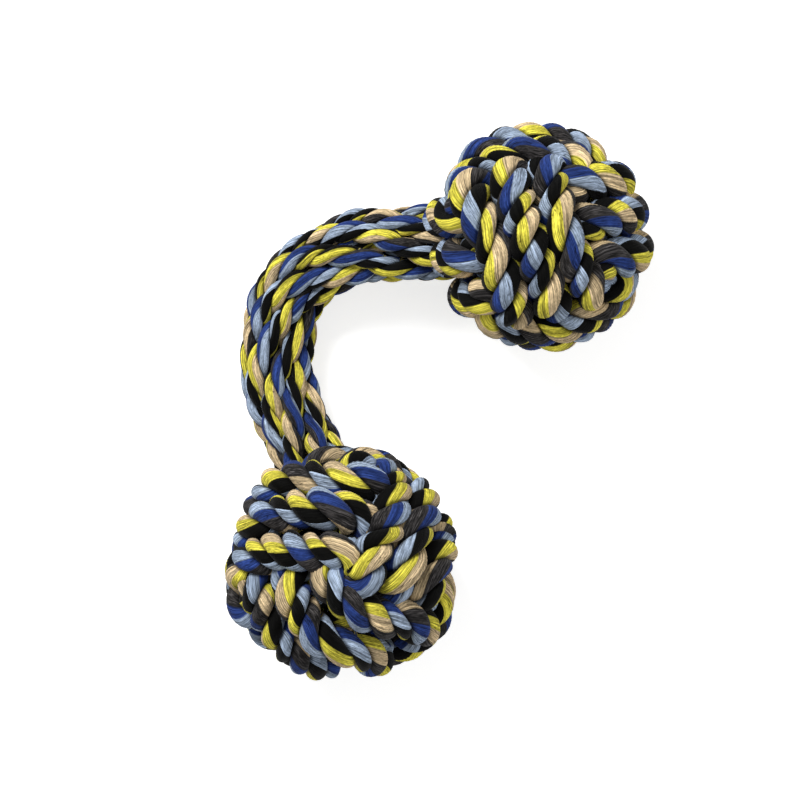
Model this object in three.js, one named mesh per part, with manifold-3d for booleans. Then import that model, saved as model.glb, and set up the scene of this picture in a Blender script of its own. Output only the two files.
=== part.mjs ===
import * as THREE from "three";
import { mergeVertices } from "three/addons/utils/BufferGeometryUtils.js";
import Module from "manifold-3d";

// Rope dog toy: two ball knots wound from one cord size and joined by a plaited handle.
// Millimetres, +Z up, the toy lying on its side on the floor z = 0.

// Cord and knots
const cordDiameter = 4.9;
const cordSides = 6;
const turnsPerBand = 6;
const lowerKnotRadius = 35;
const upperKnotRadius = 33.6;
const lowerKnotCentre = [-29.1, -48.5];
const upperKnotCentre = [30.3, 50.6];
const cordTailLength = 5;

// Shape of a band of turns, as shares of the radius at which its outer passes run
const edgeTurnShare = 0.4706;
const inwardShare = 0.2336;
const squeezeShare = 0.0831;
const joinRadiusShare = 0.6385;

// Angles in degrees, from the middle of a face where a band lies outside
const middleTurnDive = { start: 37.8, width: 29.6 };
const edgeTurnDive = { start: 44.8, width: 14.3 };
const quarterAngles = [0, 26.2, 36.1, 45.1, 59.2, 90];
const joinFade = 30.3;
const shiftAngle = 30;

// Packed ball of cotton inside each knot
const coreShare = 0.65;
const coreDetail = 4;
const coreClearance = 0.35;

// Handle: three strands of three cords each, plaited
const strandDiameter = 7.7;
const strandSides = 8;
const strandSteps = 46;
const strandCount = 3;
const plaitPeriod = 66;
const plaitWidthWaves = [8.54, 0.86];
const plaitDepthWaves = [6.34, 0.31];
const handleRoute = [
  [16.3, 49.9, 29.6],
  [3.3, 49.9, 26.8],
  [-11.7, 48.5, 23.2],
  [-21.3, 48.2, 20.4],
  [-32.7, 44.6, 16.2],
  [-41.7, 38.9, 12.8],
  [-47.1, 31.4, 10.6],
  [-49.2, 20.9, 9.5],
  [-49.2, 8.9, 10],
  [-46.2, -1.6, 12.6],
  [-40.5, -13.4, 17.2],
  [-36.3, -21.1, 21.4],
  [-32.1, -31.5, 27.1],
];

// Rest
const floorCut = 0.5;
const meetGap = 0.5;
const ballSegments = 40;
const floorBlockSize = 400;

// How each knot is turned, in degrees
const lowerFaceAzimuths = [130, 10, -110];
const lowerTip = [1.8, -3.6];
const upperSpin = 6.5;
const upperTip = [-0.6, -3.3];

const wasm = await Module();
wasm.setup();

const smooth = (from, to, x) => {
  const t = Math.min(1, Math.max(0, (x - from) / (to - from)));
  return t * t * (3 - 2 * t);
};
const rad = (degrees) => THREE.MathUtils.degToRad(degrees);

// Solids

function tubeGeometry(points, radius, sides) {
  const tangents = points.map((p, i) => {
    const before = points[Math.max(0, i - 1)];
    const after = points[Math.min(points.length - 1, i + 1)];
    const back = p.clone().sub(before).normalize();
    const ahead = after.clone().sub(p).normalize();
    return back.add(ahead).normalize();
  });
  const position = [];
  const index = [];
  const side = new THREE.Vector3(0, 0, 1);
  if (Math.abs(side.dot(tangents[0])) > 0.9) side.set(1, 0, 0);
  points.forEach((p, i) => {
    side.addScaledVector(tangents[i], -side.dot(tangents[i])).normalize();
    const up = tangents[i].clone().cross(side);
    for (let k = 0; k < sides; k++) {
      const angle = (2 * Math.PI * k) / sides;
      const v = p.clone();
      v.addScaledVector(side, radius * Math.cos(angle));
      v.addScaledVector(up, radius * Math.sin(angle));
      position.push(v.x, v.y, v.z);
    }
  });
  const rings = points.length;
  for (let i = 0; i < rings - 1; i++) {
    for (let k = 0; k < sides; k++) {
      const a = i * sides + k;
      const b = i * sides + ((k + 1) % sides);
      index.push(a, b, a + sides, b, b + sides, a + sides);
    }
  }
  const last = (rings - 1) * sides;
  for (let k = 1; k < sides - 1; k++) {
    index.push(0, k + 1, k);
    index.push(last, last + k, last + k + 1);
  }
  const geometry = new THREE.BufferGeometry();
  geometry.setAttribute("position", new THREE.Float32BufferAttribute(position, 3));
  geometry.setIndex(index);
  return geometry;
}

function toManifold(geometry) {
  const plain = geometry.clone();
  plain.deleteAttribute("normal");
  plain.deleteAttribute("uv");
  const merged = mergeVertices(plain);
  const solid = new wasm.Mesh({
    numProp: 3,
    vertProperties: merged.attributes.position.array,
    triVerts: new Uint32Array(merged.index.array),
  });
  return new wasm.Manifold(solid);
}

function toGeometry(manifold) {
  const mesh = manifold.getMesh();
  const geometry = new THREE.BufferGeometry();
  geometry.setAttribute("position", new THREE.Float32BufferAttribute(mesh.vertProperties, 3));
  geometry.setIndex(new THREE.BufferAttribute(mesh.triVerts, 1));
  return geometry;
}

function named(name, geometry, colour, roughness) {
  const flat = geometry.toNonIndexed();
  flat.computeVertexNormals();
  const material = new THREE.MeshStandardMaterial({ color: colour, roughness });
  const mesh = new THREE.Mesh(flat, material);
  mesh.name = name;
  return mesh;
}

// Least distance between the surfaces of a tube's own turns, measured on its centre line

function leastGap(points, diameter) {
  const along = [0];
  for (let i = 1; i < points.length; i++) {
    along.push(along[i - 1] + points[i].distanceTo(points[i - 1]));
  }
  const apart = 3 * diameter;
  let least = Infinity;
  let where = points[0];
  for (let i = 0; i < points.length - 1; i++) {
    for (let j = i + 2; j < points.length - 1; j++) {
      if (along[j] - along[i + 1] < apart) continue;
      const d = segmentDistance(points[i], points[i + 1], points[j], points[j + 1]);
      if (d < least) {
        least = d;
        where = points[i];
      }
    }
  }
  return { gap: least - diameter, where };
}

function segmentDistance(a, b, c, d) {
  const u = b.clone().sub(a);
  const v = d.clone().sub(c);
  const w = a.clone().sub(c);
  const uu = u.dot(u);
  const uv = u.dot(v);
  const vv = v.dot(v);
  const uw = u.dot(w);
  const vw = v.dot(w);
  const span = uu * vv - uv * uv;
  const clamp = THREE.MathUtils.clamp;
  let s = span > 0 ? clamp((uv * vw - vv * uw) / span, 0, 1) : 0;
  const t = clamp((uv * s + vw) / vv, 0, 1);
  s = clamp((uv * t - uw) / uu, 0, 1);
  return w.addScaledVector(u, s).addScaledVector(v, -t).length();
}

// Knot: three bands of turns at right angles, each outside on two faces and inside on two

function knotPoints(radius) {
  const outer = radius - cordDiameter / 2;
  const edge = outer * edgeTurnShare;
  const points = [];
  const bands = [[0, 1, 2], [1, 2, 0], [2, 0, 1]];
  const quarters = quarterAngles.length - 1;
  const stepsPerTurn = 4 * quarters;
  const steps = turnsPerBand * stepsPerTurn;
  bands.forEach((axes) => {
    for (let step = 0; step <= steps; step++) {
      const quarter = Math.floor(step / quarters);
      const part = step % quarters;
      // Angles run from an inside middle, so odd quarters count the table forwards
      const fold = quarter % 2 === 0 ? quarterAngles[quarters - part] : quarterAngles[part];
      const angle = 90 * (quarter + 1) + (quarter % 2 === 0 ? 90 - fold : fold);
      const turn = (angle - 90) / 360;
      const whole = Math.round(turn);
      const offset = (turn - whole) * 360;
      const inside = whole > 0 && whole < turnsPerBand;
      const shifted = THREE.MathUtils.clamp((offset / shiftAngle + 1) / 2, 0, 1);
      const shift = inside ? shifted : Number(offset >= 0);
      const place = THREE.MathUtils.clamp(whole - 1 + shift, 0, turnsPerBand - 1);
      const straight = edge * ((2 * place) / (turnsPerBand - 1) - 1);
      const lateral = straight * (1 - squeezeShare * Math.sin(rad(2 * fold)) ** 2);
      const rim = (straight / edge) ** 2;
      const start = THREE.MathUtils.lerp(middleTurnDive.start, edgeTurnDive.start, rim);
      const width = THREE.MathUtils.lerp(middleTurnDive.width, edgeTurnDive.width, rim);
      let reach = outer * (1 - inwardShare * smooth(start, start + width, fold));
      const fromEnd = Math.min(angle - 90, 90 + 360 * turnsPerBand - angle);
      const join = outer * joinRadiusShare;
      if (fromEnd < joinFade) reach = join + (reach - join) * smooth(0, joinFade, fromEnd);
      const across = Math.sqrt(reach * reach - lateral * lateral);
      const at = [0, 0, 0];
      at[axes[0]] = across * Math.cos(rad(angle));
      at[axes[1]] = across * Math.sin(rad(angle));
      at[axes[2]] = lateral;
      points.push(new THREE.Vector3(...at));
    }
  });
  return points;
}

function withTails(points) {
  const first = points[0].clone().sub(points[1]).setLength(cordTailLength).add(points[0]);
  const count = points.length;
  const last = points[count - 1].clone().sub(points[count - 2]).setLength(cordTailLength);
  return [first, ...points, last.add(points[count - 1])];
}

function tip(matrix, offset, radius) {
  const to = new THREE.Vector3(offset[0], offset[1], radius).normalize();
  const turn = new THREE.Quaternion().setFromUnitVectors(new THREE.Vector3(0, 0, 1), to);
  return new THREE.Matrix4().makeRotationFromQuaternion(turn).multiply(matrix);
}

function lowerTurn() {
  const rise = Math.asin(1 / Math.sqrt(3));
  const axes = lowerFaceAzimuths.map((azimuth) => {
    const flat = Math.cos(rise);
    const x = -flat * Math.cos(rad(azimuth));
    const y = -flat * Math.sin(rad(azimuth));
    return new THREE.Vector3(x, y, -Math.sin(rise));
  });
  return tip(new THREE.Matrix4().makeBasis(...axes), lowerTip, lowerKnotRadius);
}

function upperTurn() {
  const x = new THREE.Vector3(0, 0, 1);
  const y = new THREE.Vector3(0, 1, 0);
  const z = new THREE.Vector3(-1, 0, 0);
  const basis = new THREE.Matrix4().makeBasis(x, y, z);
  const spun = new THREE.Matrix4().makeRotationZ(rad(upperSpin)).multiply(basis);
  return tip(spun, upperTip, upperKnotRadius);
}

const floorBlock = new THREE.BoxGeometry(1, 1, 1);
floorBlock.scale(floorBlockSize, floorBlockSize, floorBlockSize);
floorBlock.translate(0, 0, -floorBlockSize / 2);
const belowFloor = toManifold(floorBlock);

function ball(radius, centre) {
  const geometry = new THREE.SphereGeometry(1, ballSegments, ballSegments / 2);
  geometry.scale(radius, radius, radius);
  geometry.translate(centre.x, centre.y, centre.z);
  return toManifold(geometry);
}

function makeKnot(name, radius, centre, turn) {
  const centreLine = withTails(knotPoints(radius)).map((p) => p.applyMatrix4(turn));
  const tube = tubeGeometry(centreLine, cordDiameter / 2, cordSides);
  tube.computeBoundingBox();
  const height = -floorCut - tube.boundingBox.min.z;
  const at = new THREE.Vector3(centre[0], centre[1], height);
  tube.translate(at.x, at.y, at.z);
  const wound = toManifold(tube).subtract(belowFloor);
  const coreRadius = (radius - cordDiameter / 2) * coreShare;
  const packed = new THREE.IcosahedronGeometry(1, coreDetail);
  packed.scale(coreRadius, coreRadius, coreRadius);
  packed.translate(at.x, at.y, at.z);
  const groove = tubeGeometry(
    centreLine.map((p) => p.clone().add(at)),
    cordDiameter / 2 + coreClearance,
    cordSides,
  );
  const core = toManifold(packed).subtract(toManifold(groove));
  const least = leastGap(centreLine, cordDiameter);
  console.log(`${name}: least gap of the cord to itself ${least.gap.toFixed(2)} mm`);
  return { wound, core, at, least, clear: ball(radius + meetGap, at) };
}

const lower = makeKnot("lower_knot_cord", lowerKnotRadius, lowerKnotCentre, lowerTurn());
const upper = makeKnot("upper_knot_cord", upperKnotRadius, upperKnotCentre, upperTurn());

// Handle: each strand swings from side to side and from back to front as it runs

const route = new THREE.CatmullRomCurve3(handleRoute.map((p) => new THREE.Vector3(...p)));
const routeLength = route.getLength();
const skyward = new THREE.Vector3(0, 0, 1);

function strandPoints(number) {
  const points = [];
  for (let step = 0; step <= strandSteps; step++) {
    const share = step / strandSteps;
    const centre = route.getPointAt(share);
    const along = route.getTangentAt(share);
    const sideways = skyward.clone().cross(along).normalize();
    const out = along.clone().cross(sideways);
    const phase = 2 * Math.PI * ((share * routeLength) / plaitPeriod + number / strandCount);
    const [wide, wideRipple] = plaitWidthWaves;
    const [deep, deepRipple] = plaitDepthWaves;
    const aside = wide * Math.sin(phase) + wideRipple * Math.sin(3 * phase);
    const raised = deep * Math.sin(2 * phase) + deepRipple * Math.sin(4 * phase);
    centre.addScaledVector(sideways, aside);
    centre.addScaledVector(out, raised);
    points.push(centre);
  }
  return points;
}

function leastBetween(a, b) {
  let least = Infinity;
  for (let i = 0; i < a.length - 1; i++) {
    for (let j = 0; j < b.length - 1; j++) {
      least = Math.min(least, segmentDistance(a[i], a[i + 1], b[j], b[j + 1]));
    }
  }
  return least;
}

const strandLines = [];
for (let number = 0; number < strandCount; number++) strandLines.push(strandPoints(number));
strandLines.forEach((line, i) => {
  const other = strandLines[(i + 1) % strandCount];
  const gap = leastBetween(line, other) - strandDiameter;
  console.log(`handle_strand_${i + 1}: least gap to the next strand ${gap.toFixed(2)} mm`);
});

const group = new THREE.Group();
group.add(named("lower_knot_cord", toGeometry(lower.wound), 0x2a3a6a, 0.9));
group.add(named("lower_knot_core", toGeometry(lower.core), 0xd8d0c0, 1));
group.add(named("upper_knot_cord", toGeometry(upper.wound), 0x2a3a6a, 0.9));
group.add(named("upper_knot_core", toGeometry(upper.core), 0xd8d0c0, 1));
const strandColours = [0xc8b040, 0x4a6ab0, 0x30302c];
strandLines.forEach((line, i) => {
  const tube = toManifold(tubeGeometry(line, strandDiameter / 2, strandSides));
  const cut = tube.subtract(lower.clear).subtract(upper.clear).subtract(belowFloor);
  group.add(named(`handle_strand_${i + 1}`, toGeometry(cut), strandColours[i], 0.9));
});

// The frame's origin is under the middle of the whole toy
const whole = new THREE.Box3().setFromObject(group);
const middle = whole.getCenter(new THREE.Vector3());
group.children.forEach((mesh) => mesh.geometry.translate(-middle.x, -middle.y, 0));
console.log(`origin moved by ${middle.x.toFixed(3)}, ${middle.y.toFixed(3)} mm`);

export default group;
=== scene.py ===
import math

import bpy
import numpy as np
from mathutils import Matrix, Vector


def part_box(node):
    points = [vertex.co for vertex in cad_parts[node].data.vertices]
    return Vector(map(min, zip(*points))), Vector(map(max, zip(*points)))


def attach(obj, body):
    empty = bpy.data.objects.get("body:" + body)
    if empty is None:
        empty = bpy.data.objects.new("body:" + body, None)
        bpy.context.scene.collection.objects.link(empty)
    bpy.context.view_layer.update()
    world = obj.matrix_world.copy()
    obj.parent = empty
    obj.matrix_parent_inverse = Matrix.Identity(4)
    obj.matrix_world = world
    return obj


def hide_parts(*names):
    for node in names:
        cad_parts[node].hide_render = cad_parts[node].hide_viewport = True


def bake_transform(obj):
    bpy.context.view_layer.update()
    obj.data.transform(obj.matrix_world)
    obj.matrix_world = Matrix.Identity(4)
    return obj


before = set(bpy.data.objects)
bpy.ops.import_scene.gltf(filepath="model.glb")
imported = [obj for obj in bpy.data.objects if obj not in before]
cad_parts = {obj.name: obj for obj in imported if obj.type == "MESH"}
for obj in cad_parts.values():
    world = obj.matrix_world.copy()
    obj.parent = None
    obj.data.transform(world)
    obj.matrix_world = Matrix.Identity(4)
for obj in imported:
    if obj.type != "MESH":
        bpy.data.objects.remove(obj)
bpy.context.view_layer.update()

# Lengths are in millimetres up to where a mesh is made, as in the part's source, and in metres for the
# camera, the lamps and the floor. Named angles are in degrees

MM = 0.001
STEP = 0.8  # from one ring of a cord to the next

KNOT_CORD = 12.4  # thickness of the knots' rope over its widest part
KNOT_LAY = -21.0  # one full twist of it, and minus because it's laid the other way from the handle's
KNOT_BACK = 0.92  # how far its yarns turn back across a strand, where at 1 they run along the rope
KNOT_SPREAD = 1.5  # rounds of the six colours to one turn of the rope

HANDLE_CORD = 6.9  # the same four for the handle's nine cords
HANDLE_LAY = 18.0
HANDLE_BACK = 0.62
HANDLE_SPREAD = 1.15

# The two balls, as in the solids. Their centres have the shift in them
LOWER_RADIUS = 35.0
UPPER_RADIUS = 33.6
LOWER_CENTRE = (-29.344, -48.746)
UPPER_CENTRE = (30.056, 50.354)
SHIFT = (-0.244, -0.246)  # puts the origin under the middle of the plan outline
LOWER_AZIMUTHS = (134, 14, -106)  # where the lower knot's bands leave its top corner
LOWER_TIP = (0.9, -1.2)  # where that corner lies, from over the ball's middle
UPPER_SPIN = 14  # how far the upper knot's turns lean to the left at the top
UPPER_TIP = (-0.6, -3.3)  # where its top face lies

# The turns of a knot. The solids have twice as many thinner ones over nearly the same width
TURNS = 3  # to a band
INSET = 5.2  # the outer turns' centre line lies this far inside the ball
EDGE_SHARE = 0.40  # half the width of a band's centre lines, over their distance from the middle
INWARD_SHARE = 0.36  # how far a turn dives to pass under the next band
JOIN_SHARE = 0.6385  # how far out the first and last turns end
MIDDLE_DIVE = (37.8, 29.6)  # where a band's middle turn begins to dive, and over what angle
EDGE_DIVE = (44.8, 14.3)  # the same for its outermost turns
JOIN_FADE = 30.3  # the angle over which an end turn comes out to the rest
SHIFT_ANGLE = 42.0  # to each side of the place where a turn moves aside by one rope

rng = np.random.default_rng(11)


def smooth(a, b, x):
    t = np.clip((x - a) / (b - a), 0, 1)
    return t * t * (3 - 2 * t)


def lengths(line):
    seg = np.linalg.norm(np.diff(line, axis=0), axis=1)
    return np.concatenate([[0], np.cumsum(seg)])


def unit(vectors):
    return vectors / np.linalg.norm(vectors, axis=1)[:, None]


def spread_evenly(values, at, wanted):
    return np.stack([np.interp(wanted, at, values[:, k]) for k in range(3)], axis=1)


def resample(points, step):
    along = lengths(points)
    n = max(8, int(round(along[-1] / step)))
    out = spread_evenly(points, along, np.linspace(0, along[-1], n + 1))
    # two passes of a short running mean keep the curve smooth between the given points
    for _ in range(2):
        out[1:-1] = (out[:-2] + 2 * out[1:-1] + out[2:]) / 4
    return out


def wobble(along, amount, wave):
    """A smooth random curve over a length, within the amount to both sides."""
    knots = rng.uniform(-1, 1, int(along[-1] / wave) + 4)
    x = along / wave + 1
    i = x.astype(int)
    f = smooth(0, 1, x - i)
    return amount * (knots[i] * (1 - f) + knots[i + 1] * f)


# The knots' centre lines: the solids' formula, with fewer turns, more points and a softer step aside


def knot_line(radius):
    outer = radius - INSET
    edge = outer * EDGE_SHARE
    join = outer * JOIN_SHARE
    angle = np.arange(90, 90 + 360 * TURNS + 1e-6, 2.0)
    fold = np.mod(angle, 180)
    fold = np.where(fold > 90, 180 - fold, fold)
    turn = (angle - 90) / 360
    whole = np.round(turn)
    offset = (turn - whole) * 360
    inside = (whole > 0) & (whole < TURNS)
    # each turn moves aside by one rope while it is under another band
    shift = np.where(inside, smooth(-SHIFT_ANGLE, SHIFT_ANGLE, offset), (offset >= 0) * 1.0)
    place = np.clip(whole - 1 + shift, 0, TURNS - 1)
    lateral = edge * (2 * place / (TURNS - 1) - 1)
    rim = (lateral / edge) ** 2
    start = MIDDLE_DIVE[0] + (EDGE_DIVE[0] - MIDDLE_DIVE[0]) * rim
    width = MIDDLE_DIVE[1] + (EDGE_DIVE[1] - MIDDLE_DIVE[1]) * rim
    reach = outer * (1 - INWARD_SHARE * smooth(start, start + width, fold))
    end = np.minimum(angle - 90, 90 + 360 * TURNS - angle)
    reach = np.where(end < JOIN_FADE, join + (reach - join) * smooth(0, JOIN_FADE, end), reach)
    across = np.sqrt(reach**2 - lateral**2)
    lines = []
    for axes in ((0, 1, 2), (1, 2, 0), (2, 0, 1)):
        points = np.zeros((len(angle), 3))
        points[:, axes[0]] = across * np.cos(np.radians(angle))
        points[:, axes[1]] = across * np.sin(np.radians(angle))
        points[:, axes[2]] = lateral
        lines.append(points)
    return np.concatenate(lines)


def tip(matrix, offset, radius):
    to = Vector((offset[0], offset[1], radius)).normalized()
    return Vector((0, 0, 1)).rotation_difference(to).to_matrix() @ matrix


def lower_turn():
    """One corner of the lower knot points up, where its three bands meet."""
    rise = math.asin(1 / math.sqrt(3))
    flat = math.cos(rise)
    axes = []
    for azimuth in LOWER_AZIMUTHS:
        a = math.radians(azimuth)
        axes.append(Vector((-flat * math.cos(a), -flat * math.sin(a), -math.sin(rise))))
    return tip(Matrix(axes).transposed(), LOWER_TIP, LOWER_RADIUS)


def upper_turn():
    """One face of the upper knot points up."""
    basis = Matrix(((0, 0, 1), (0, 1, 0), (-1, 0, 0))).transposed()
    spun = Matrix.Rotation(math.radians(UPPER_SPIN), 3, "Z") @ basis
    return tip(spun, UPPER_TIP, UPPER_RADIUS)


def height(node):
    """A knot's centre stands over the floor by this much: its core is a ball round it."""
    low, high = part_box(node)
    return (low.z + high.z) / 2 / MM


# A twisted cord as a mesh

# Places round one of the cord's three strands, closer together at the creases between them
PLACES = np.array([0, 0.03, 0.08, 0.15, 0.24, 0.34, 0.45, 0.55, 0.66, 0.76, 0.85, 0.92, 0.97])
# For each strand: its share of the turn, its height, and the colour at its middle
PLIES = ((0.36, 1.03, 0.225), (0.365, 1.03, 0.645), (0.275, 0.97, 0.905))
CREASE = 0.58  # height at the crease between two strands
ROUNDNESS = 0.6  # the lower, the flatter a strand's back
STARTS = np.cumsum([0] + [p[0] for p in PLIES])
TURN = np.concatenate([STARTS[k] + PLACES * PLIES[k][0] for k in range(len(PLIES))])
WHOSE = np.repeat(np.arange(len(PLIES)), len(PLACES))
PLACE = np.tile(PLACES, len(PLIES))
PLACE_END = np.tile(np.concatenate([PLACES[1:], [1.0]]), len(PLIES))
SIDES = len(TURN)
FLOOR_GIVE = 0.0012  # metres over the floor, under which a cord is pressed flat

# A cord's unevenness, each with its amount and the length of its waves
SLOW_TWIST = (0.20, 28)
QUICK_TWIST = (0.05, 13)
STRAND_SWELL = (0.07, 14)
CORD_SWELL = (0.035, 22)
SLOW_DRIFT = (0.13, 24)  # of the colours, over the six
QUICK_DRIFT = (0.05, 9)


def ring_points(line, thick, twist, outward, along):
    """Rings that turn with the twist, so that a crease follows one row of edges."""
    tangent = unit(np.gradient(line, axis=0))
    up = unit(outward - (outward * tangent).sum(1)[:, None] * tangent)
    side = np.cross(tangent, up)
    phi = 2 * np.pi * (TURN[None, :] - twist[:, None])
    top = np.array([p[1] for p in PLIES])[WHOSE]
    bulge = CREASE + (top - CREASE) * np.sin(np.pi * PLACE) ** ROUNDNESS
    radius = np.broadcast_to(bulge, (len(line), SIDES)).copy()
    for k in range(len(PLIES)):
        mine = WHOSE == k
        swell = wobble(along, *STRAND_SWELL)[:, None] * np.sin(np.pi * PLACE[mine])
        radius[:, mine] *= 1 + swell
    radius *= thick / 2 * (1 + wobble(along, *CORD_SWELL))[:, None]
    x = -np.cos(phi)[:, :, None] * up[:, None, :]
    y = -np.sin(phi)[:, :, None] * side[:, None, :]
    co = (line[:, None, :] + radius[:, :, None] * (x + y)).reshape(-1, 3) * MM
    z = co[:, 2]
    pressed = FLOOR_GIVE * np.exp(np.minimum(z - FLOOR_GIVE, 0) / FLOOR_GIVE)
    co[:, 2] = np.where(z < FLOOR_GIVE, pressed, z)
    return co


def yarn_tones(twist, along, back, spread):
    """Each side's place in the six colours, at its start and at its end."""
    drifts = [wobble(along, *SLOW_DRIFT) + wobble(along, *QUICK_DRIFT) for _ in PLIES]
    tones = []
    for place in (PLACE, PLACE_END):
        tone = np.zeros((len(along), SIDES))
        for k, (share, _, middle_tone) in enumerate(PLIES):
            mine = WHOSE == k
            front = np.mod(STARTS[k] + share / 2 - twist, 1.0) - 0.5
            within = (place[mine] - 0.5) * share
            turned = within[None, :] + back * front[:, None]
            tone[:, mine] = middle_tone + drifts[k][:, None] + spread * turned
        tones.append(tone)
    return tones


def tube_mesh(name, co):
    """Rings of points joined by quads, with a cap at each end."""
    n = len(co) // SIDES
    ring = np.arange(SIDES)
    nxt = (ring + 1) % SIDES
    base = (np.arange(n - 1) * SIDES)[:, None]
    quads = np.stack([base + ring, base + nxt, base + SIDES + nxt, base + SIDES + ring], axis=2)
    quads = quads.reshape(-1, 4)
    loops = np.concatenate([quads.ravel(), ring[::-1], ring + (n - 1) * SIDES])
    caps = [len(quads) * 4, len(quads) * 4 + SIDES]
    starts = np.concatenate([np.arange(len(quads)) * 4, caps])
    mesh = bpy.data.meshes.new(name)
    mesh.vertices.add(len(co))
    mesh.vertices.foreach_set("co", co.ravel())
    mesh.loops.add(len(loops))
    mesh.loops.foreach_set("vertex_index", loops)
    mesh.polygons.add(len(starts))
    mesh.polygons.foreach_set("loop_start", starts)
    mesh.polygons.foreach_set("use_smooth", np.ones(len(starts), dtype=bool))
    mesh.update(calc_edges=True)
    return mesh


def add_map(mesh, name, start, stop, length):
    """The first number runs from start to stop across each side, and the second one is the length."""
    n = len(length)
    corners = ((start, 0), (stop, 0), (stop, 1), (start, 1))
    uv = [np.stack([c[r : n - 1 + r], length[r : n - 1 + r]], -1) for c, r in corners]
    uv = np.stack(uv, axis=2).reshape(-1, 2)
    uv = np.concatenate([uv, np.zeros((2 * SIDES, 2))])
    mesh.uv_layers.new(name=name).data.foreach_set("uv", uv.ravel())


def cord_mesh(name, line, sizes, outward, phase, skip):
    """line is the centre line. sizes are the thickness, the lay, the yarns' turning back and the colours'
    spread. outward gives a direction for each point, from which the twist is counted. phase turns the
    twist, and skip moves the cord along its noises."""
    thick, lay, back, spread = sizes
    along = lengths(line)
    twist = along / lay + phase + wobble(along, *SLOW_TWIST) + wobble(along, *QUICK_TWIST)
    mesh = tube_mesh(name, ring_points(line, thick, twist, outward, along))
    tones = yarn_tones(twist, along, back, spread)
    shape = (len(line), SIDES)
    length = along[:, None] * MM + skip + np.zeros((1, SIDES))
    counted = [np.broadcast_to(WHOSE + place, shape) for place in (PLACE, PLACE_END)]
    add_map(mesh, "cord", counted[0], counted[1], length)
    add_map(mesh, "tone", tones[0], tones[1], length)
    mesh.validate()
    obj = bpy.data.objects.new(name, mesh)
    bpy.context.scene.collection.objects.link(obj)
    return obj


# The cord's material


def node(tree, kind, **values):
    made = tree.nodes.new(kind)
    for key, value in values.items():
        setattr(made, key, value)
    return made


def math_node(tree, op, a, b=None):
    made = node(tree, "ShaderNodeMath", operation=op)
    for socket, value in ((0, a), (1, b)):
        if value is None:
            continue
        if isinstance(value, (int, float)):
            made.inputs[socket].default_value = value
        else:
            tree.links.new(value, made.inputs[socket])
    return made.outputs[0]


def map_range(tree, value, a, b, c, d, kind="LINEAR"):
    made = node(tree, "ShaderNodeMapRange", interpolation_type=kind)
    for name, number in (("From Min", a), ("From Max", b), ("To Min", c), ("To Max", d)):
        made.inputs[name].default_value = number
    tree.links.new(value, made.inputs["Value"])
    return made.outputs[0]


def linear(r, g, b):
    def one(c):
        c = c / 255
        return c / 12.92 if c <= 0.04045 else ((c + 0.055) / 1.055) ** 2.4

    return (one(r), one(g), one(b), 1.0)


# The six yarns, each with its share of 64 parts
YARNS = (
    (11, linear(158, 174, 196)),  # light blue
    (9, linear(40, 60, 120)),  # blue
    (12, linear(48, 46, 46)),  # charcoal
    (11, linear(212, 188, 148)),  # tan
    (9, linear(220, 209, 76)),  # yellow
    (12, linear(8, 8, 7)),  # black
)
CHARCOAL = 2
EDGES = np.concatenate([[0], np.cumsum([part / 64 for part, _ in YARNS])])
SOFT_EDGE = 0.005
FRAY = 0.03  # how far fibres stray over the border of two colours
STRANDS_APART = 9.1  # keeps the noises of the three strands apart

# Noises that follow the yarns: their scale across the six colours and to a metre, and their detail
FINE = (78.0, 95.0, 2.5)
BROAD = (16.0, 70.0, 1.5)
CRACK = (30.0, 110.0, 0.5)
PATCH = (4.0, 120.0, 0.0)
BUNDLE = (40.0, 65.0, 1.0)
FUZZ = (45.0, 900.0, 1.0)
SPECKS = (75.0, 420.0, 1.0)


def yarn_ramp(tree, share):
    ramp = node(tree, "ShaderNodeValToRGB")
    ramp.color_ramp.interpolation = "LINEAR"
    places = []
    for k, (_, colour) in enumerate(YARNS):
        first = EDGES[k] + (SOFT_EDGE if k else 0)
        last = EDGES[k + 1] - (SOFT_EDGE if k < len(YARNS) - 1 else 0)
        places += [(first, colour), (last, colour)]
    stops = ramp.color_ramp.elements
    stops[0].position, stops[0].color = places[0]
    stops[1].position, stops[1].color = places[-1]
    for at, colour in places[1:-1]:
        stops.new(at).color = colour
    tree.links.new(share, ramp.inputs[0])
    return ramp.outputs[0]


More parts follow.
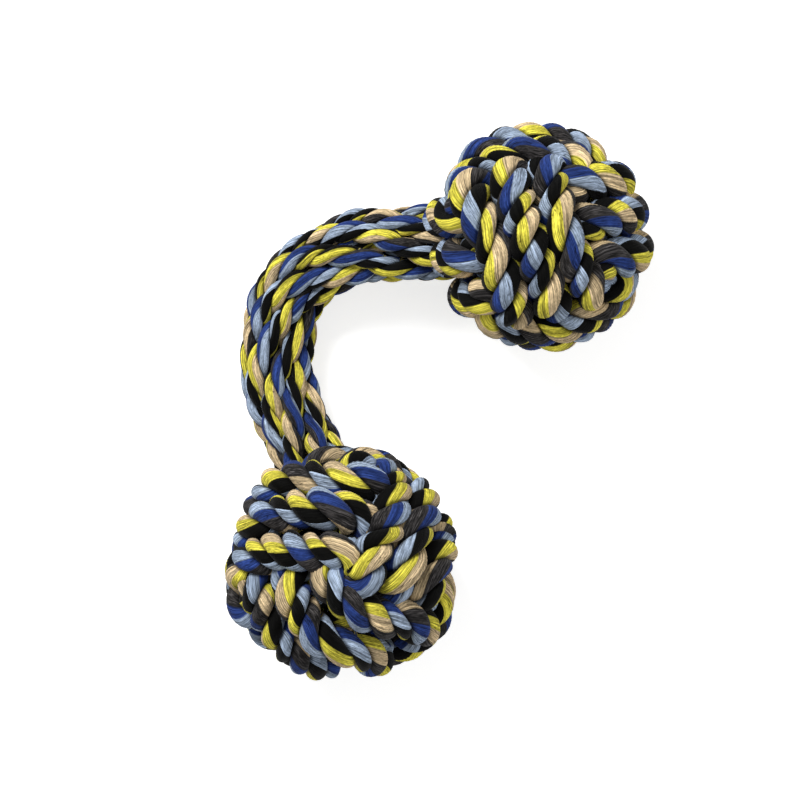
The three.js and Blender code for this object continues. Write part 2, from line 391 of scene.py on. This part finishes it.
def cord_material(name):
    material = bpy.data.materials.new(name)
    material.use_nodes = True
    tree = material.node_tree
    tree.nodes.clear()
    out = node(tree, "ShaderNodeOutputMaterial")
    shader = node(tree, "ShaderNodeBsdfPrincipled")
    tree.links.new(shader.outputs[0], out.inputs["Surface"])

    def op(kind, a, b=None):
        return math_node(tree, kind, a, b)

    def product(first, *others):
        for other in others:
            first = op("MULTIPLY", first, other)
        return first

    def ranged(value, *numbers):
        return map_range(tree, value, *numbers)

    def stepped(value, *numbers):
        return map_range(tree, value, *numbers, "SMOOTHSTEP")

    def from_middle(value, middle=0.5):
        return op("ABSOLUTE", op("SUBTRACT", value, middle))

    def numbers(layer):
        uv = node(tree, "ShaderNodeUVMap", uv_map=layer)
        split = node(tree, "ShaderNodeSeparateXYZ")
        tree.links.new(uv.outputs[0], split.inputs[0])
        return split.outputs[0], split.outputs[1]

    counted, along = numbers("cord")
    tone, _ = numbers("tone")
    place = op("FRACT", counted)
    strand = op("MULTIPLY", op("FLOOR", counted), STRANDS_APART)

    def fibres(kind):
        wide, long, detail = kind
        where = node(tree, "ShaderNodeCombineXYZ")
        tree.links.new(op("MULTIPLY", tone, wide), where.inputs[0])
        tree.links.new(op("MULTIPLY", along, long), where.inputs[1])
        tree.links.new(strand, where.inputs[2])
        noise = node(tree, "ShaderNodeTexNoise")
        noise.inputs["Scale"].default_value = 1.0
        noise.inputs["Detail"].default_value = detail
        noise.inputs["Roughness"].default_value = 0.6
        tree.links.new(where.outputs[0], noise.inputs["Vector"])
        return noise.outputs[0]

    # the yarns' colours, with frayed borders
    fine = fibres(FINE)
    fray = op("MULTIPLY", op("SUBTRACT", fine, 0.5), FRAY)
    share = op("FRACT", op("ADD", tone, fray))
    colour = yarn_ramp(tree, share)

    # fibres streak the colour, and painted shade darkens the grooves and slits between them and the crease
    # between two strands
    streak = ranged(fine, 0.36, 0.64, 0.40, 1.44)
    shade = ranged(fibres(BROAD), 0.32, 0.68, 0.70, 1.20)
    # painted shade in the thin grooves between fibre bundles
    groove_painted_shade = stepped(from_middle(fibres(BUNDLE)), 0.0, 0.032, 0.45, 1.0)
    grain = ranged(fibres(FUZZ), 0.35, 0.65, 0.78, 1.22)
    near = op("MINIMUM", place, op("SUBTRACT", 1.0, place))
    # painted shade: the colour darkens to 0.3 towards the crease between two strands
    crease = stepped(near, 0.0, 0.12, 0.30, 1.0)
    line = stepped(from_middle(fibres(CRACK)), 0.0, 0.022, 1.0, 0.0)
    slit = op("MULTIPLY", line, stepped(fibres(PATCH), 0.50, 0.58, 0.0, 1.0))
    # the charcoal is spun from dark and light fibres
    charcoal = float(EDGES[CHARCOAL] + EDGES[CHARCOAL + 1]) / 2
    grey = ranged(from_middle(share, charcoal), 0.06, 0.10, 1.0, 0.0)
    speck = ranged(fibres(SPECKS), 0.42, 0.64, 0.5, 2.5)
    mottle = op("ADD", 1.0, op("MULTIPLY", grey, op("SUBTRACT", speck, 1.0)))
    # painted shade inside the slits, which also dip the bump below
    slit_painted_shade = op("SUBTRACT", 1.0, op("MULTIPLY", slit, 0.7))
    # the fibres' own tone and the charcoal's specks, times the painted shade of creases, grooves and slits
    light = product(streak, shade, crease, groove_painted_shade, grain, mottle, slit_painted_shade)
    tint = node(tree, "ShaderNodeVectorMath", operation="SCALE")
    tree.links.new(colour, tint.inputs[0])
    tree.links.new(light, tint.inputs["Scale"])
    tree.links.new(tint.outputs[0], shader.inputs["Base Color"])

    bump = node(tree, "ShaderNodeBump")
    bump.inputs["Strength"].default_value = 0.6
    bump.inputs["Distance"].default_value = 0.0004
    tree.links.new(op("SUBTRACT", fine, op("MULTIPLY", slit, 0.8)), bump.inputs["Height"])
    tree.links.new(bump.outputs[0], shader.inputs["Normal"])
    shader.inputs["Roughness"].default_value = 0.75
    shader.inputs["Specular IOR Level"].default_value = 0.07
    shader.inputs["Sheen Weight"].default_value = 0.05
    shader.inputs["Sheen Roughness"].default_value = 0.4
    return material


cord_cloth = cord_material("twisted_cotton")

# The knots

KNOT_SIZES = (KNOT_CORD, KNOT_LAY, KNOT_BACK, KNOT_SPREAD)
CORNER_PULL = 0.7  # how far the turns at a corner are drawn in
CORNER_RING = (8, 5)  # how far from the corner it is strongest, and over what angle it fades
LUMP = 0.45  # height of a knot's unevenness
LUMP_WAVES = (42.0, 26.0, 26.0)
KNOT_RISE = (0.45, 15)  # how a turn wavers outwards and sideways: the amount, and its waves' length
KNOT_SWAY = (0.5, 19)

# The lower knot's third lobe is turned about a pivot beside the top corner
PULL_PIVOT = (-1.5, 1.0)
PULL_TURN = 36
PULL_AZIMUTH = -48  # where it is turned most
PULL_REACH = 115  # how far from there it is turned at all
PULL_AT_CORNER = 0.45  # share of the turn that all three lobes have at the corner
PULL_CORNER = (4, 26)  # from the top: the angles over which that share gives way
PULL_END = (50, 105)  # the angles over which the turn fades

# The upper knot's front lobe tapers, moves and leans
LEAN_FRONT = (0.25, 0.7)  # the heights over which this begins, as shares of the radius
LEAN_TAPER = 0.17  # how much narrower its ends are
LEAN_ENDS = (0.3, 0.9)  # the distances over which it tapers, as shares of the radius
LEAN_MOVE = 4.2  # to the left
LEAN_SLOPE = 3.0  # further to the left at its top
LEAN_SPIN = 0.5


def tighten(points):
    """Where three bands meet, the nearest turns are drawn towards the corner, and the gap there closes."""
    size = np.linalg.norm(points, axis=1)[:, None]
    to = points / size
    for a in (-1, 1):
        for b in (-1, 1):
            for c in (-1, 1):
                corner = np.array([a, b, c]) / math.sqrt(3)
                angle = np.degrees(np.arccos(np.clip(to @ corner, -1, 1)))
                pull = CORNER_PULL * np.exp(-(((angle - CORNER_RING[0]) / CORNER_RING[1]) ** 2))
                way = corner - (to @ corner)[:, None] * to
                way /= np.maximum(np.linalg.norm(way, axis=1), 1e-6)[:, None]
                to = unit(to + way * np.radians(pull)[:, None])
    return to * size


def lumps(points, seed):
    """A handmade knot's unevenness, the same for turns that lie side by side."""
    own = np.random.default_rng(seed)
    moved = points.copy()
    for wave in LUMP_WAVES:
        way = own.normal(size=(3, 3))
        way *= 2 * np.pi / wave / np.linalg.norm(way, axis=1)[:, None]
        moved += LUMP * np.sin(points @ way.T + own.uniform(0, 6.28, 3))
    return moved


def pull_lobe(points):
    """The lower knot's third lobe reaches up round the corner, at the right, over the second one's ends."""
    pivot = np.array(PULL_PIVOT)
    polar = np.degrees(np.arctan2(np.hypot(points[:, 0], points[:, 1]), points[:, 2]))
    x, y = (points[:, :2] - pivot).T
    flat = np.hypot(x, y)
    azimuth = np.degrees(np.arctan2(y, x))
    away = np.clip(np.abs(azimuth - PULL_AZIMUTH) / PULL_REACH, 0, 1)
    # close to the corner everything turns alike
    far = smooth(*PULL_CORNER, polar)
    share = far * np.cos(away * np.pi / 2) ** 2 + (1 - far) * PULL_AT_CORNER
    azimuth = azimuth + PULL_TURN * share * (1 - smooth(*PULL_END, polar))
    a = np.radians(azimuth)
    moved = np.stack([flat * np.cos(a) + pivot[0], flat * np.sin(a) + pivot[1], points[:, 2]], axis=1)
    return moved * (np.linalg.norm(points, axis=1) / np.linalg.norm(moved, axis=1))[:, None]


def lean_lobe(points):
    """The upper knot's lobe towards the eye tapers to its ends, and its top stands to the left."""
    x, y, z = points.T
    share = y / UPPER_RADIUS
    front = smooth(LEAN_FRONT[0] * UPPER_RADIUS, LEAN_FRONT[1] * UPPER_RADIUS, z)
    taper = 1 - LEAN_TAPER * smooth(*LEAN_ENDS, np.abs(share))
    moved = x * taper - LEAN_MOVE - LEAN_SLOPE * share
    x = x + (moved - x) * front
    spin = np.radians(LEAN_SPIN) * front
    c, s = np.cos(spin), np.sin(spin)
    return np.stack([c * x - s * y, s * x + c * y, z], axis=1)


def finish_cord(obj, body, slot, *nodes):
    obj.data.materials.append(cord_cloth)
    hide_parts(*nodes)
    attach(obj, body)


# The upper knot is wound from its other end, which sets the order of its colours
for which, radius, centre, turn, phase, lump_seed, shape, order in (
    ("lower", LOWER_RADIUS, LOWER_CENTRE, lower_turn(), 0.10, 5, pull_lobe, 1),
    ("upper", UPPER_RADIUS, UPPER_CENTRE, upper_turn(), 0.55, 8, lean_lobe, -1),
):
    at = np.array([centre[0], centre[1], height(which + "_knot_core")])
    line = resample(tighten(knot_line(radius))[::order], STEP)
    line = resample(shape(line @ np.array(turn).T), STEP)
    line = lumps(line, lump_seed)
    along = lengths(line)
    out = unit(line)
    tangent = unit(np.gradient(line, axis=0))
    line = line + wobble(along, *KNOT_RISE)[:, None] * out
    line = line + wobble(along, *KNOT_SWAY)[:, None] * np.cross(tangent, out)
    obj = cord_mesh(which + "_knot", line + at, KNOT_SIZES, line, phase, 10 * phase)
    finish_cord(obj, which, "knot_cord", which + "_knot_cord", which + "_knot_core")

# The handle

ROUTE = [
    (16.3, 49.9, 29.6),
    (3.3, 49.9, 26.8),
    (-11.7, 48.5, 23.2),
    (-21.3, 48.2, 20.4),
    (-32.7, 44.6, 16.2),
    (-41.7, 38.9, 12.8),
    (-47.1, 31.4, 10.6),
    (-49.2, 20.9, 9.5),
    (-49.2, 8.9, 10),
    (-46.2, -1.6, 12.6),
    (-40.5, -13.4, 17.2),
    (-36.3, -21.1, 21.4),
    (-32.1, -31.5, 27.1),
]
ROUTE_POINTS = 400
SPLINE_STEPS = 40  # between two places of the route
ROPE_LAY = 118.0  # one full twist of the handle
RING = (8.1, 6.7)  # the outer cords' distance from its middle, across and in depth
INNER_REACH = 0.3  # the inner cords' share of that distance
OUTER = 7
INNER = 2
HANDLE_SIZES = (HANDLE_CORD, HANDLE_LAY, HANDLE_BACK, HANDLE_SPREAD)
AROUND_SWAY = (0.12, 30)  # how a cord wavers round the handle, in radians, and in and out
REACH_SWAY = (0.06, 17)
THICKER = 0.10  # at the upper ball, and over what length it goes back
THICKER_ENDS = (5, 35)


def spline(points, n):
    """A smooth curve through the points, with n even steps."""
    p = np.array(points, float)
    p = np.concatenate([[2 * p[0] - p[1]], p, [2 * p[-1] - p[-2]]])
    t = np.linspace(0, 1, SPLINE_STEPS, endpoint=False)[:, None]
    parts = []
    for i in range(1, len(p) - 2):
        a, b, c, d = p[i - 1], p[i], p[i + 1], p[i + 2]
        square = (2 * a - 5 * b + 4 * c - d) * t**2
        cube = (3 * b - a - 3 * c + d) * t**3
        parts.append(0.5 * (2 * b + (c - a) * t + square + cube))
    parts.append(p[-2][None])
    curve = np.concatenate(parts)
    along = lengths(curve)
    at = np.linspace(0, along[-1], n)
    return spread_evenly(curve, along, at), at


middle, along = spline(ROUTE, ROUTE_POINTS)
middle[:, :2] += SHIFT
tangent = unit(np.gradient(middle, axis=0))
sideways = unit(np.cross([0, 0, 1.0], tangent))
out_of = np.cross(tangent, sideways)

for number in range(OUTER + INNER):
    outer = number < OUTER
    share = number / OUTER if outer else (number - OUTER) / INNER
    theta = 2 * np.pi * (share + along / ROPE_LAY) + wobble(along, *AROUND_SWAY)
    reach = (1.0 if outer else INNER_REACH) + wobble(along, *REACH_SWAY)
    reach = reach * (1 + THICKER * (1 - smooth(*THICKER_ENDS, along)))
    across = RING[0] * reach * np.cos(theta)
    deep = RING[1] * reach * np.sin(theta)
    line = resample(middle + across[:, None] * sideways + deep[:, None] * out_of, STEP)
    up = np.cos(theta)[:, None] * sideways + np.sin(theta)[:, None] * out_of
    up = spread_evenly(up, np.arange(len(up)), np.linspace(0, len(up) - 1, len(line)))
    phase = 0.21 * number
    skip = 0.7 * number + 5
    obj = cord_mesh(f"handle_cord_{number + 1}", line, HANDLE_SIZES, up, phase, skip)
    obj.data.materials.append(cord_cloth)
    if number < 3:
        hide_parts(f"handle_strand_{number + 1}")
    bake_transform(obj)

# Camera straight above, as the photograph looks at the toy

SENSOR = 36
CAMERA_HEIGHT = 1.1
VIEW_LEVEL = 0.035  # about the height of the balls' middles, where the view is this wide
VIEW_WIDTH = 0.240
VIEW_MIDDLE = (-0.0117, 0.00135)  # what the photograph's middle shows, before the shift

camera = bpy.data.objects.new("camera", bpy.data.cameras.new("camera"))
bpy.context.scene.collection.objects.link(camera)
bpy.context.scene.camera = camera
camera.data.sensor_width = SENSOR
camera.data.sensor_height = SENSOR
camera.data.lens = SENSOR * (CAMERA_HEIGHT - VIEW_LEVEL) / VIEW_WIDTH
across, up = (VIEW_MIDDLE[k] + SHIFT[k] * MM for k in range(2))
camera.location = (across, up, CAMERA_HEIGHT)
camera.rotation_euler = (0, 0, 0)

# Floor and light

LAMP_TARGET = Vector((0, 0, 0.03))
FLOOR_REACH = 3.0
FLOOR_COLOUR = (0.8, 0.8, 0.8, 1)
FLOOR_LIFT = 0.62  # lifts the floor to white for the eye
WORLD_LIGHT = 0.42


def lamp(name, place, size, watts):
    data = bpy.data.lights.new(name, "AREA")
    data.shape = "SQUARE"
    data.size = size
    data.energy = watts
    obj = bpy.data.objects.new(name, data)
    bpy.context.scene.collection.objects.link(obj)
    obj.location = place
    obj.rotation_euler = (LAMP_TARGET - Vector(place)).to_track_quat("-Z", "Y").to_euler()


lamp("key", place=(-0.5, 0.7, 0.9), size=0.5, watts=15)
lamp("fill", place=(0.8, -0.2, 0.7), size=0.9, watts=3)

floor_mesh = bpy.data.meshes.new("floor")
corners = [(x * FLOOR_REACH, y * FLOOR_REACH, 0) for x, y in ((-1, -1), (1, -1), (1, 1), (-1, 1))]
floor_mesh.from_pydata(corners, [], [(0, 1, 2, 3)])
floor = bpy.data.objects.new("floor", floor_mesh)
bpy.context.scene.collection.objects.link(floor)
# the floor takes the toy's shadow, and to the eye it is lifted to white
white = bpy.data.materials.new("floor_white")
white.use_nodes = True
tree = white.node_tree
shader = tree.nodes["Principled BSDF"]
shader.inputs["Base Color"].default_value = FLOOR_COLOUR
shader.inputs["Roughness"].default_value = 0.9
shader.inputs["Specular IOR Level"].default_value = 0
shader.inputs["Emission Color"].default_value = (1, 1, 1, 1)
path = tree.nodes.new("ShaderNodeLightPath")
seen = math_node(tree, "MAXIMUM", path.outputs["Is Camera Ray"], path.outputs["Is Glossy Ray"])
seen = math_node(tree, "MAXIMUM", seen, path.outputs["Is Transmission Ray"])
tree.links.new(math_node(tree, "MULTIPLY", seen, FLOOR_LIFT), shader.inputs["Emission Strength"])
floor_mesh.materials.append(white)

world = bpy.data.worlds.new("world")
bpy.context.scene.world = world
world.use_nodes = True
background = world.node_tree.nodes["Background"]
background.inputs["Color"].default_value = (1, 1, 1, 1)
background.inputs["Strength"].default_value = WORLD_LIGHT
bpy.context.scene.view_settings.view_transform = "Standard"

bpy.context.view_layer.update()
